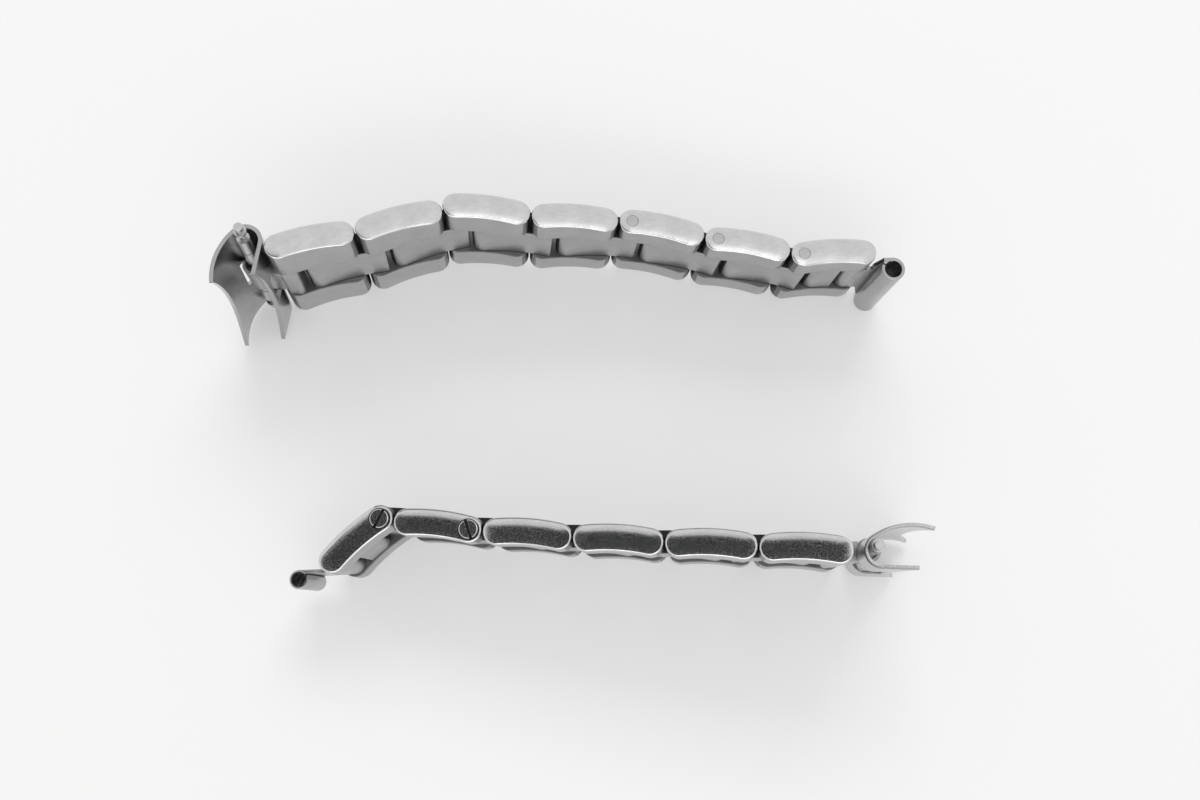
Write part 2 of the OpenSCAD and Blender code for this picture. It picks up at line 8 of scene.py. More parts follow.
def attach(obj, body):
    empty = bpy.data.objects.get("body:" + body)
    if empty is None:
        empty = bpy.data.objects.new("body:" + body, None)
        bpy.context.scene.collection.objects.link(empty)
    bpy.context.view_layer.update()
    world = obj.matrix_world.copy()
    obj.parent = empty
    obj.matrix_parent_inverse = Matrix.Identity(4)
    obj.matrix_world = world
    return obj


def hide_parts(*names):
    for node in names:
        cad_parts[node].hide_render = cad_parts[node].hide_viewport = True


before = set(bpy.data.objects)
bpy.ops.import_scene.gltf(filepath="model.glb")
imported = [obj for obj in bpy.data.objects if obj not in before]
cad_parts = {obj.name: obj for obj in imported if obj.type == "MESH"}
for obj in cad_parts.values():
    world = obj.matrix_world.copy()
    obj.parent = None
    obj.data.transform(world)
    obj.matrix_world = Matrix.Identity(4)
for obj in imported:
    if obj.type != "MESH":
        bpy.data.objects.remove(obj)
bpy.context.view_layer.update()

# Shapes are drawn in millimetres, in the frames that the part's source uses, and scaled at the end.
# Half frame: origin at the first pivot pin, +X towards the clasp, +Y to the outer face, Z across.
# Row frame: origin at the row's own pivot pin, turned by the row's heading.
MM = 0.001

# Widths
LUG_WIDTH = 20.0
CLASP_WIDTH = 13.0
CENTRE_WIDTH = 7.8
CENTRE_WIDTH_CLASP = 6.6
TAPER_ROWS = 4
SIDE_CLEARANCE = 0.06

# Outer links
LINK_THICKNESS = 2.7
END_RADIUS = LINK_THICKNESS / 2
LINK_SPAN = 6.1
LINK_GAP = 0.12
LINK_BEND = 21.0
PITCH = LINK_SPAN + LINK_THICKNESS + LINK_GAP
# Roundings of the polished side's edge: towards the outer face, the underside and the round ends
OUTER_ROUND = 0.5
UNDER_ROUND = 0.2
END_ROUND = 0.22
# How far the polished side rises between its edges
SIDE_CROWN = 0.05
# Where the rise ends and the flat middle begins
FLAT_INSET = 1.25
INNER_ROUND = 0.08
# Faces across the row further out than this are the polished sides; the nearer inner faces get painted shade
SIDE_FROM = 5.0

# Centre links
CENTRE_THICKNESS = 2.3
CENTRE_BEND = 30.0
KNUCKLE_RADIUS = 1.27
NOSE_REACH = 0.95
HEAD_X = 2.5
HEAD_Y = 0.15
HEAD_RADIUS = CENTRE_THICKNESS / 2 - 0.02
BLOCK_END_X = 4.45
CENTRE_ROUND = 0.12

# Pins and screws
PIN_RADIUS = 0.6
SCREW_HEAD_RADIUS = 1.0
SCREW_HEAD_HEIGHT = 0.95
SLOT_WIDTH = 0.3
SLOT_DEPTH = 0.45
HEAD_GAP = 0.03
HOLE_GAP = 0.01
# The head's dome: its flat top ends, its shoulder and its rim, each as inset and drop
DOME = [(0.16, 0.0), (0.06, 0.025), (0.0, 0.09)]
SLOT_BREAK = 0.03
# How far the screw's two ends lie below the polished sides
SCREW_SINK = 0.02
EDGE_BREAK = 0.07
# The same at the flush end of a screw, which is ground with the link
TIP_BREAK = 0.02

# End link
SHEET = 0.4
HORN_LENGTH = 5.7
FLAP_LENGTH = 3.4
CASE_HOLLOW = 1.5
NOTCH_WIDTH = 5.9
NOTCH_FRONT = 1.1
END_CLEARANCE = 0.1
END_HALF = LUG_WIDTH / 2 - END_CLEARANCE
WRAP_CENTRE = Vector((-0.35, -0.5))
WRAP_RADIUS = 1.7
SHELL_RADIUS = 6.5
SHELL_JOIN = 70.0
FLAP_JOIN = -73.0
SHEET_ROUND = 0.07
CASE_RADIUS = (END_HALF ** 2 + CASE_HOLLOW ** 2) / 2 / CASE_HOLLOW

# Spring bar and first centre link
FIRST_REACH = 3.5
HOOK_WIDTH = 5.6
HOOK_RADIUS = 1.225
HOOK_BORE = 0.91
HOOK_BREAK = 0.1
# How much thinner than a link the tongue is on each face
TONGUE_STEP = 0.15

# Stand of the halves: the least gap to the floor, and what the lower one rises for its roll
FLOOR_GAP = 0.07
ROLL_RISE = 0.05

# Clasp connectors
LEAF_SHEET = 0.4
LEAF_KNUCKLE = 1.1
LEAF_PIN_X = LINK_SPAN
LEAF_SHOULDER = 1.55
LEAF_FLARE_X = 2.1
SEAM = 0.12
SEAM_ANGLE = 148.0
LEAF_ROUND = 0.06
TUBE_ROUND = 0.07
KNUCKLE_BREAK = 0.1
TUBE_INSET = 0.05


def half_width(s):
    return LUG_WIDTH / 2 - min(s, TAPER_ROWS) * (LUG_WIDTH - CLASP_WIDTH) / 2 / TAPER_ROWS


def centre_half(s):
    return CENTRE_WIDTH / 2 - min(s, TAPER_ROWS) * (CENTRE_WIDTH - CENTRE_WIDTH_CLASP) / 2 / TAPER_ROWS


def side_at(row, x):
    return half_width(row - 1) + (half_width(row) - half_width(row - 1)) * x / PITCH


def centre_at(row, x):
    return centre_half(row - 1) + (centre_half(row) - centre_half(row - 1)) * x / PITCH


def direction(degrees):
    return Vector((math.cos(math.radians(degrees)), math.sin(math.radians(degrees))))


class Half:
    """One half of the bracelet: where its rows, bar and connector are."""

    def __init__(self, name, plan, turned, roll, headings, first, end, tilt, leaf):
        self.name = name
        self.turned = turned
        self.headings = headings
        self.first = first
        self.end = end
        self.tilt = tilt
        self.leaf = leaf
        self.pivots = [Vector((0.0, 0.0))]
        for heading in headings[:-1]:
            self.pivots.append(self.pivots[-1] + PITCH * direction(heading))
        reach = self.pivots[-1].x + LINK_SPAN * direction(headings[-1]).x
        lean = math.atan((LUG_WIDTH - CLASP_WIDTH) / 2 / reach)
        height = (LUG_WIDTH / 2 + FLOOR_GAP) * math.cos(lean) + (ROLL_RISE if roll else 0)
        turn = math.pi - lean if turned else lean
        self.place = (Matrix.Translation((plan[0], plan[1], height)) @ Matrix.Rotation(math.radians(roll), 4, "X")
                      @ Matrix.Rotation(turn, 4, "Y"))

    def row(self, i):
        pivot = self.pivots[i - 1]
        return (self.place @ Matrix.Translation((pivot.x, pivot.y, 0))
                @ Matrix.Rotation(math.radians(self.headings[i - 1]), 4, "Z"))

    def bar(self, heading, tilt=0):
        at = -FIRST_REACH * direction(self.first)
        return (self.place @ Matrix.Translation((at.x, at.y, 0)) @ Matrix.Rotation(math.radians(tilt), 4, "X")
                @ Matrix.Rotation(math.radians(heading), 4, "Z"))

    def connector(self):
        return (self.row(len(self.headings)) @ Matrix.Translation((LEAF_PIN_X, 0, 0))
                @ Matrix.Rotation(math.radians(self.leaf), 4, "Z"))


UPPER = Half("upper", (-28.898, 13.04), False, 0, [15, 18, -4, -1, -11, -9, 3], -3, 64, -4.7, 0)
LOWER = Half("lower", (26.102, -16.13), True, 2, [3, 3, 4, 5, 7, -41], -5, -15, 0, 38)


# Mesh helpers

def new_mesh(name, vertices, faces):
    mesh = bpy.data.meshes.new(name)
    mesh.from_pydata([tuple(v) for v in vertices], [], faces)
    mesh.validate()
    return mesh


def piece(name, mesh, body, replaced, materials, place, choose=None):
    """Puts a mesh drawn in its own frame in place, maps its texture and ties it to its body.

    choose gives the number of a face's material."""
    add_texture_map(mesh)
    mesh.materials.clear()
    for material in materials:
        mesh.materials.append(material)
    for polygon in mesh.polygons:
        polygon.material_index = choose(polygon) if choose else 0
    mesh.transform(Matrix.Scale(MM, 4) @ place)
    obj = bpy.data.objects.new(name, mesh)
    bpy.context.scene.collection.objects.link(obj)
    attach(obj, body)
    if replaced:
        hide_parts(*replaced)
    return obj


def add_texture_map(mesh):
    """Box-like texture map in millimetres: along the row, and across it on each face."""
    layer = mesh.uv_layers.new(name="Map").data
    for polygon in mesh.polygons:
        n = polygon.normal
        for loop in polygon.loop_indices:
            v = mesh.vertices[mesh.loops[loop].vertex_index].co
            if abs(n.z) > 0.6:
                layer[loop].uv = (v.x, v.y)
            elif abs(n.y) >= abs(n.x):
                layer[loop].uv = (v.x, v.z)
            else:
                layer[loop].uv = (v.y, v.z)


def smooth(mesh, degrees=35.0):
    for polygon in mesh.polygons:
        polygon.use_smooth = True
    mesh.set_sharp_from_angle(angle=math.radians(degrees))


def join_meshes(name, meshes):
    """One mesh from several closed ones."""
    vertices, faces = [], []
    for mesh in meshes:
        start = len(vertices)
        vertices += [v.co.copy() for v in mesh.vertices]
        faces += [[start + i for i in p.vertices] for p in mesh.polygons]
        bpy.data.meshes.remove(mesh)
    return new_mesh(name, vertices, faces)


def apply_modifiers(mesh, steps):
    """Runs modifiers on a mesh and gives back the result."""
    obj = bpy.data.objects.new("scratch", mesh)
    bpy.context.scene.collection.objects.link(obj)
    for kind, settings in steps:
        modifier = obj.modifiers.new(kind.title(), kind)
        for key, value in settings.items():
            setattr(modifier, key, value)
    bpy.context.view_layer.update()
    result = bpy.data.meshes.new_from_object(obj.evaluated_get(bpy.context.evaluated_depsgraph_get()))
    bpy.data.objects.remove(obj)
    return result


def cut(mesh, cutters):
    """Takes closed meshes away from a mesh."""
    objects = []
    for cutter in cutters:
        obj = bpy.data.objects.new("cutter", cutter)
        bpy.context.scene.collection.objects.link(obj)
        objects.append(obj)
    result = apply_modifiers(mesh, [
        ("BOOLEAN", {"object": obj, "operation": "DIFFERENCE", "solver": "EXACT"}) for obj in objects])
    for obj in objects:
        bpy.data.objects.remove(obj)
    return result


def lathe(profile, segments=64):
    """Closed turned shape about Z from (radius, z) points, which start and end on the axis."""
    vertices, faces = [], []
    rings = []
    for radius, z in profile:
        if radius < 1e-6:
            rings.append([len(vertices)])
            vertices.append((0.0, 0.0, z))
        else:
            rings.append(list(range(len(vertices), len(vertices) + segments)))
            for k in range(segments):
                a = 2 * math.pi * k / segments
                vertices.append((radius * math.cos(a), radius * math.sin(a), z))
    for lower, upper in zip(rings, rings[1:]):
        for k in range(segments):
            m = (k + 1) % segments
            if len(lower) == 1:
                faces.append((lower[0], upper[m], upper[k]))
            elif len(upper) == 1:
                faces.append((lower[k], lower[m], upper[0]))
            else:
                faces.append((lower[k], lower[m], upper[m], upper[k]))
    mesh = new_mesh("lathe", vertices, faces)
    return consistent(mesh)


def broken_cylinder(radius, half_length, edge):
    """Cylinder about Z with broken edges."""
    return lathe([(0, -half_length), (radius - edge, -half_length), (radius, -half_length + edge),
                  (radius, half_length - edge), (radius - edge, half_length), (0, half_length)])


def consistent(mesh):
    """Same mesh with its faces turned outwards."""
    bm = bmesh.new()
    bm.from_mesh(mesh)
    bmesh.ops.remove_doubles(bm, verts=bm.verts, dist=1e-6)
    bmesh.ops.recalc_face_normals(bm, faces=bm.faces)
    bm.to_mesh(mesh)
    bm.free()
    return mesh


def box_mesh(low, high):
    x0, y0, z0 = low
    x1, y1, z1 = high
    vertices = [(x, y, z) for z in (z0, z1) for y in (y0, y1) for x in (x0, x1)]
    faces = [(0, 2, 3, 1), (4, 5, 7, 6), (0, 1, 5, 4), (2, 6, 7, 3), (0, 4, 6, 2), (1, 3, 7, 5)]
    return new_mesh("box", vertices, faces)


def outline_normals(points):
    """Outward normals of a closed outline that runs counter-clockwise."""
    count = len(points)
    normals = []
    for k in range(count):
        t = points[(k + 1) % count] - points[k - 1]
        normals.append(Vector((t.y, -t.x)).normalized())
    return normals


def stacked(points, normals, layers, name="stacked"):
    """Closed mesh from one outline, drawn at several insets and heights.

    layers holds functions (k, point) -> (inset, z); the ends are closed with one face each."""
    vertices, faces = [], []
    count = len(points)
    for layer in layers:
        for k in range(count):
            inset, z = layer(k, points[k])
            p = points[k] - normals[k] * inset
            vertices.append((p.x, p.y, z))
    for r in range(len(layers) - 1):
        a, b = r * count, (r + 1) * count
        for k in range(count):
            m = (k + 1) % count
            faces.append((a + k, a + m, b + m, b + k))
    faces.append(tuple(reversed(range(count))))
    last = (len(layers) - 1) * count
    faces.append(tuple(range(last, last + count)))
    return new_mesh(name, vertices, faces)


def extruded(points, low, high, rounding, steps=3):
    """Outline drawn from z = low to z = high with rounded rims; both may depend on the point."""
    low_at = low if callable(low) else (lambda p: low)
    high_at = high if callable(high) else (lambda p: high)
    normals = outline_normals(points)
    layers = []
    for k in range(steps + 1):
        a = math.pi / 2 * k / steps
        layers.append(lambda i, p, a=a: (rounding * (1 - math.sin(a)), low_at(p) + rounding * (1 - math.cos(a))))
    for k in range(steps + 1):
        a = math.pi / 2 * k / steps
        layers.append(lambda i, p, a=a: (rounding * (1 - math.cos(a)), high_at(p) - rounding * (1 - math.sin(a))))
    mesh = stacked(points, normals, layers)
    smooth(mesh)
    return mesh


def arc_points(centre, radius, start, end, count):
    return [centre + radius * direction(start + (end - start) * k / count) for k in range(count + 1)]


# Outlines

def bend_centre(start, end, bend):
    middle = (start + end) / 2
    chord = (end - start).length
    along = (end - start) / chord
    return middle + math.sqrt(bend ** 2 - (chord / 2) ** 2) * Vector((along.y, -along.x))


def outer_outline():
    """Outer link seen from its side, counter-clockwise, with exact normals."""
    start, end = Vector((0.0, 0.0)), Vector((LINK_SPAN, 0.0))
    centre = bend_centre(start, end, LINK_BEND)
    a0 = math.degrees(math.atan2(start.y - centre.y, start.x - centre.x))
    a1 = math.degrees(math.atan2(end.y - centre.y, end.x - centre.x))
    points, normals = [], []
    sides, caps = 36, 40
    for k in range(sides):
        d = direction(a0 + (a1 - a0) * k / sides)
        points.append(centre + (LINK_BEND - END_RADIUS) * d)
        normals.append(-d)
    for k in range(caps):
        d = direction(a1 - 180 + 180 * k / caps)
        points.append(end + END_RADIUS * d)
        normals.append(d)
    for k in range(sides):
        d = direction(a1 + (a0 - a1) * k / sides)
        points.append(centre + (LINK_BEND + END_RADIUS) * d)
        normals.append(d)
    for k in range(caps):
        d = direction(a0 + 180 * k / caps)
        points.append(start + END_RADIUS * d)
        normals.append(d)
    return points, normals


def edge_round(normal):
    """Rounding of the polished side's edge where the outline faces this way."""
    up = max(0.0, normal.y)
    down = max(0.0, -normal.y)
    return END_ROUND + (OUTER_ROUND - END_ROUND) * up ** 2 + (UNDER_ROUND - END_ROUND) * down ** 2


def outer_link_mesh(row):
    """One outer link on the +Z side of its row."""
    points, normals = outer_outline()
    rounds = [edge_round(n) for n in normals]

    def layer(inset_at, drop_at, plane):
        """Ring whose heights are measured from a plane across the row."""
        def place(i, p):
            inset = inset_at(i)
            return inset, plane(p.x - normals[i].x * inset) + drop_at(i)
        return place

    inner = lambda x: centre_at(row, x) + SIDE_CLEARANCE
    outer = lambda x: side_at(row, x)
    layers = []
    for k in range(4):
        a = math.pi / 2 * k / 3
        layers.append(layer(lambda i, a=a: INNER_ROUND * (1 - math.sin(a)),
                            lambda i, a=a: INNER_ROUND * (1 - math.cos(a)), inner))
    steps = 8
    for k in range(steps + 1):
        a = math.pi / 2 * k / steps
        layers.append(layer(lambda i, a=a: rounds[i] * (1 - math.cos(a)),
                            lambda i, a=a: -SIDE_CROWN - rounds[i] * (1 - math.sin(a)), outer))
    rises = 8
    for k in range(1, rises + 1):
        q = k / rises
        layers.append(layer(lambda i, q=q: rounds[i] + (FLAT_INSET - rounds[i]) * q,
                            lambda i, q=q: -SIDE_CROWN * (1 - q) ** 2, outer))
    mesh = consistent(stacked(points, normals, layers, "outer_link"))
    smooth(mesh, 40)
    return mesh


def band_points(start, end, bend, thickness, count):
    """Outer and inner edge of a bent band, from start to end."""
    centre = bend_centre(start, end, bend)
    a0 = math.degrees(math.atan2(start.y - centre.y, start.x - centre.x))
    a1 = math.degrees(math.atan2(end.y - centre.y, end.x - centre.x))
    outer = [centre + (bend + thickness / 2) * direction(a0 + (a1 - a0) * k / count) for k in range(count + 1)]
    inner = [centre + (bend - thickness / 2) * direction(a0 + (a1 - a0) * k / count) for k in range(count + 1)]
    return centre, outer, inner


def knuckle_points(pin, start, end, count):
    """Round about a pin, clipped to the link's thickness and to its nose."""
    points = []
    for k in range(count + 1):
        d = direction(start + (end - start) * k / count)
        r = KNUCKLE_RADIUS
        if abs(d.y) > 1e-6:
            r = min(r, CENTRE_THICKNESS / 2 / abs(d.y))
        if d.x > 1e-6:
            r = min(r, NOSE_REACH / d.x)
        points.append(pin + r * d)
    return points


def centre_outline():
    """Centre link seen from its side, counter-clockwise from the underside at its head."""
    head = Vector((HEAD_X, HEAD_Y))
    tail = Vector((PITCH, 0.0))
    along = (tail - head).normalized()
    centre, outer, inner = band_points(head, tail + along * 2 * NOSE_REACH, CENTRE_BEND, CENTRE_THICKNESS, 40)
    points = [p for p in inner if p.x < PITCH - 0.05]
    for p in knuckle_points(tail, -90, 90, 32):
        low = centre.y + math.sqrt((CENTRE_BEND - CENTRE_THICKNESS / 2) ** 2 - (p.x - centre.x) ** 2)
        high = centre.y + math.sqrt((CENTRE_BEND + CENTRE_THICKNESS / 2) ** 2 - (p.x - centre.x) ** 2)
        points.append(Vector((p.x, min(max(p.y, low), high))))
    points += [p for p in reversed(outer) if p.x < PITCH - 0.05]
    a = math.degrees(math.atan2(head.y - centre.y, head.x - centre.x))
    points += arc_points(head, HEAD_RADIUS, a, a + 180, 24)[1:-1]
    return points


def block_outline():
    head = Vector((HEAD_X, HEAD_Y))
    tail = Vector((BLOCK_END_X, HEAD_Y))
    centre, outer, inner = band_points(head, tail, LINK_BEND, CENTRE_THICKNESS, 16)
    points = list(inner) + list(reversed(outer))
    a = math.degrees(math.atan2(head.y - centre.y, head.x - centre.x))
    points += arc_points(head, HEAD_RADIUS, a, a + 180, 24)[1:-1]
    return points


# Materials

def scratched_steel(name, colour, roughness, scratches, mottle, dark):
    """Worked steel: fine scratches along the row, a darker film in places and an uneven gloss."""
    material = bpy.data.materials.new(name)
    material.use_nodes = True
    tree = material.node_tree
    nodes, links = tree.nodes, tree.links
    nodes.clear()
    output = nodes.new("ShaderNodeOutputMaterial")
    shader = nodes.new("ShaderNodeBsdfPrincipled")
    links.new(shader.outputs["BSDF"], output.inputs["Surface"])
    shader.inputs["Metallic"].default_value = 1.0

    uv = nodes.new("ShaderNodeUVMap")
    uv.uv_map = "Map"

    def noise(stretch, noise_scale, detail, rough):
        mapping = nodes.new("ShaderNodeMapping")
        mapping.inputs["Scale"].default_value = stretch
        links.new(uv.outputs["UV"], mapping.inputs["Vector"])
        texture = nodes.new("ShaderNodeTexNoise")
        texture.inputs["Scale"].default_value = noise_scale
        texture.inputs["Detail"].default_value = detail
        texture.inputs["Roughness"].default_value = rough
        links.new(mapping.outputs["Vector"], texture.inputs["Vector"])
        return texture.outputs["Fac"]

    def ramp(source, low, high, start, end):
        node = nodes.new("ShaderNodeMapRange")
        node.inputs["From Min"].default_value = low
        node.inputs["From Max"].default_value = high
        node.inputs["To Min"].default_value = start
        node.inputs["To Max"].default_value = end
        links.new(source, node.inputs["Value"])
        return node.outputs["Result"]

    brush = noise((0.06, 1.0, 1.0), 14.0, 6.0, 0.7)
    fine = noise((1.0, 1.0, 1.0), 5.0, 5.0, 0.65)
    blotch = noise((1.0, 1.0, 1.0), 0.55, 3.0, 0.5)

    # Colour: uneven film and the darker floors of the scratches
    mix = nodes.new("ShaderNodeMix")
    mix.data_type = "RGBA"
    mix.inputs["A"].default_value = (*[c * (1 - dark) for c in colour], 1)
    mix.inputs["B"].default_value = (*colour, 1)
    add = nodes.new("ShaderNodeMath")
    add.operation = "ADD"
    links.new(ramp(brush, 0.35, 0.65, 0.0, 0.5), add.inputs[0])
    links.new(ramp(blotch, 0.3, 0.7, 0.0, 0.5), add.inputs[1])
    links.new(add.outputs["Value"], mix.inputs["Factor"])
    links.new(mix.outputs["Result"], shader.inputs["Base Color"])

    # Gloss
    gloss = nodes.new("ShaderNodeMath")
    gloss.operation = "ADD"
    links.new(ramp(fine, 0.3, 0.7, roughness * (1 - mottle), roughness * (1 + mottle)), gloss.inputs[0])
    links.new(ramp(brush, 0.35, 0.65, -0.03, 0.03), gloss.inputs[1])
    links.new(gloss.outputs["Value"], shader.inputs["Roughness"])

    # Relief
    bump = nodes.new("ShaderNodeBump")
    bump.inputs["Strength"].default_value = scratches
    bump.inputs["Distance"].default_value = 0.00002
    links.new(brush, bump.inputs["Height"])
    links.new(bump.outputs["Normal"], shader.inputs["Normal"])
    return material


M_SIDE = scratched_steel("side_steel", (0.74, 0.74, 0.745), 0.17, 0.02, 0.5, 0.25)
M_OUTER = scratched_steel("outer_steel", (0.5, 0.5, 0.503), 0.34, 0.5, 0.3, 0.2)
# Painted shade: darker copies of the satin steel for faces that lie in shade, in joints, slots and recesses between
# parts
M_PAINTED_SHADE = scratched_steel("shaded_steel", (0.2, 0.2, 0.202), 0.40, 0.35, 0.3, 0.2)
M_DEEP_PAINTED_SHADE = scratched_steel("joint_steel", (0.05, 0.05, 0.051), 0.50, 0.35, 0.3, 0.3)
M_CENTRE = scratched_steel("centre_steel", (0.5, 0.5, 0.503), 0.36, 0.6, 0.25, 0.25)
# Pin steel, also used as a painted highlight on the centre links' flat noses
M_PIN_AND_NOSE_HIGHLIGHT = scratched_steel("pin_steel", (0.6, 0.6, 0.61), 0.22, 0.2, 0.2, 0.1)
M_SCREW = scratched_steel("screw_steel", (0.58, 0.58, 0.585), 0.2, 0.25, 0.4, 0.2)
M_SHEET = scratched_steel("sheet_steel", (0.5, 0.5, 0.505), 0.2, 0.3, 0.35, 0.25)
M_BAR = scratched_steel("bar_steel", (0.62, 0.62, 0.63), 0.25, 0.3, 0.2, 0.12)
M_CONNECTOR = scratched_steel("connector_steel", (0.48, 0.48, 0.483), 0.32, 0.35, 0.25, 0.12)


# Pieces of each row

def screw_cutters(row):
    """Hole through both links of a row, flared where it comes out, and the head's counterbore."""
    reach = CLASP_WIDTH / 2
    far = reach + 1
    radius = PIN_RADIUS + HOLE_GAP
    hole = lathe([(0, -far), (radius, -far), (radius, reach - TIP_BREAK),
                  (radius + TIP_BREAK, reach + TIP_BREAK), (radius + 0.2, far), (0, far)], 48)
    head = SCREW_HEAD_RADIUS + HEAD_GAP
    floor = -reach + SCREW_HEAD_HEIGHT + HEAD_GAP
    bore = lathe([(0, -far), (head + 0.1, -far), (head + EDGE_BREAK, -reach - EDGE_BREAK / 2),
                  (head, -reach + EDGE_BREAK), (head, floor), (0, floor)], 64)
    return [hole, bore]


def outer_face(polygon):
    """Polished sides, satin outer face and underside, painted shade on the inner faces, and painted shade on the
    round ends that deepens into the joints.
    """
    n = polygon.normal
    if abs(n.z) > 0.25:
        return 1 if abs(polygon.center.z) > SIDE_FROM else 2
    return 3 if abs(n.x) > 0.8 else 2 if abs(n.x) > 0.5 else 0


def outer_pair(half, row):
    mesh = outer_link_mesh(row)
    other = mesh.copy()
    other.transform(Matrix.Scale(-1, 4, (0, 0, 1)))
    other.flip_normals()
    both = join_meshes("outer_pair", [mesh, other])
    if row >= 5:
        both = cut(both, screw_cutters(row))
    smooth(both, 32)
    for polygon in both.polygons:
        if polygon.area > 1:
            polygon.use_smooth = False
    name = f"{half.name}_outer_links_{row}"
    return piece(name + "_look", both, f"{half.name}_row_{row}", [name],
                 [M_OUTER, M_SIDE, M_PAINTED_SHADE, M_DEEP_PAINTED_SHADE], half.row(row), outer_face)


def centre_face(polygon):
    """Satin, with painted shade on the faces across the row and at the head, and a painted highlight on the flat
    nose.
    """
    n = polygon.normal
    return 1 if abs(n.z) > 0.7 or n.x < -0.75 else 2 if n.x > 0.75 else 0


def centre_piece(half, row):
    body = f"{half.name}_row_{row}"
    if row < len(half.headings):
        name = f"{half.name}_centre_link_{row}"
        width = lambda p: centre_at(row, p.x)
        mesh = extruded(centre_outline(), lambda p: -width(p), width, CENTRE_ROUND)
    else:
        name = f"{half.name}_middle_block"
        width = centre_half(row)
        mesh = extruded(block_outline(), -width, width, CENTRE_ROUND)
    return piece(name + "_look", mesh, body, [name], [M_CENTRE, M_DEEP_PAINTED_SHADE, M_PIN_AND_NOSE_HIGHLIGHT], half.row(row),
                 centre_face)


def screw_piece(half, row, slot_turn):
    """Slotted screw: domed rim, slot with broken edges, and the rod's flush end."""
    reach = CLASP_WIDTH / 2 - SCREW_SINK
    r, h = SCREW_HEAD_RADIUS, SCREW_HEAD_HEIGHT
    dome = [(r - inset, -reach + drop) for inset, drop in DOME]
    profile = [(0, -reach), *dome, (r, -reach + h), (PIN_RADIUS, -reach + h),
               (PIN_RADIUS, reach - TIP_BREAK), (PIN_RADIUS - TIP_BREAK, reach), (0, reach)]
    mesh = lathe(profile, 72)
    slot = box_mesh((-3, -SLOT_WIDTH / 2, -reach - 1), (3, SLOT_WIDTH / 2, -reach + SLOT_DEPTH))
    slot.transform(Matrix.Rotation(math.radians(slot_turn), 4, "Z"))
    mesh = cut(mesh, [slot])
    mesh = apply_modifiers(mesh, [("BEVEL", {"width": SLOT_BREAK, "segments": 2, "limit_method": "ANGLE",
                                             "angle_limit": math.radians(50)})])
    smooth(mesh, 30)
    for polygon in mesh.polygons:
        if abs(polygon.normal.z) > 0.999:
            polygon.use_smooth = False

    # Faces in the slot, and those of the rod below the head, get the near-black painted shade
    def screw_face(polygon):
        c = polygon.center
        return 1 if c.z > -reach + 0.05 and c.z < 0 and math.hypot(c.x, c.y) < r - 0.03 else 0

    name = f"{half.name}_screw_{row}"
    return piece(name + "_look", mesh, f"{half.name}_row_{row}", [name], [M_SCREW, M_DEEP_PAINTED_SHADE],
                 half.row(row), screw_face)


def first_link(half):
    """Hook on the spring bar, tongue and knuckle."""
    tongue = CENTRE_THICKNESS / 2 - TONGUE_STEP
    hook = broken_cylinder(HOOK_RADIUS, HOOK_WIDTH / 2, HOOK_BREAK)
    bore = lathe([(0, -9), (HOOK_BORE, -9), (HOOK_BORE, 9), (0, 9)], 48)
    hook = cut(hook, [bore])
    start = FIRST_REACH - KNUCKLE_RADIUS
    plate = extruded([Vector((HOOK_BORE + 0.1, -tongue)), Vector((start + 0.5, -tongue)),
                      Vector((start + 0.5, tongue)), Vector((HOOK_BORE + 0.1, tongue))],
                     -HOOK_WIDTH / 2 + 0.01, HOOK_WIDTH / 2 - 0.01, 0.1)
    round_end = knuckle_points(Vector((FIRST_REACH, 0.0)), 0, 360, 64)[:-1]
    knuckle = extruded(round_end, -CENTRE_WIDTH / 2, CENTRE_WIDTH / 2, CENTRE_ROUND)
    mesh = join_meshes("first_link", [hook, plate, knuckle])
    smooth(mesh, 32)
    name = f"{half.name}_first_centre_link"
    return piece(name + "_look", mesh, f"{half.name}_first", [name], [M_CENTRE],
                 half.bar(half.first))


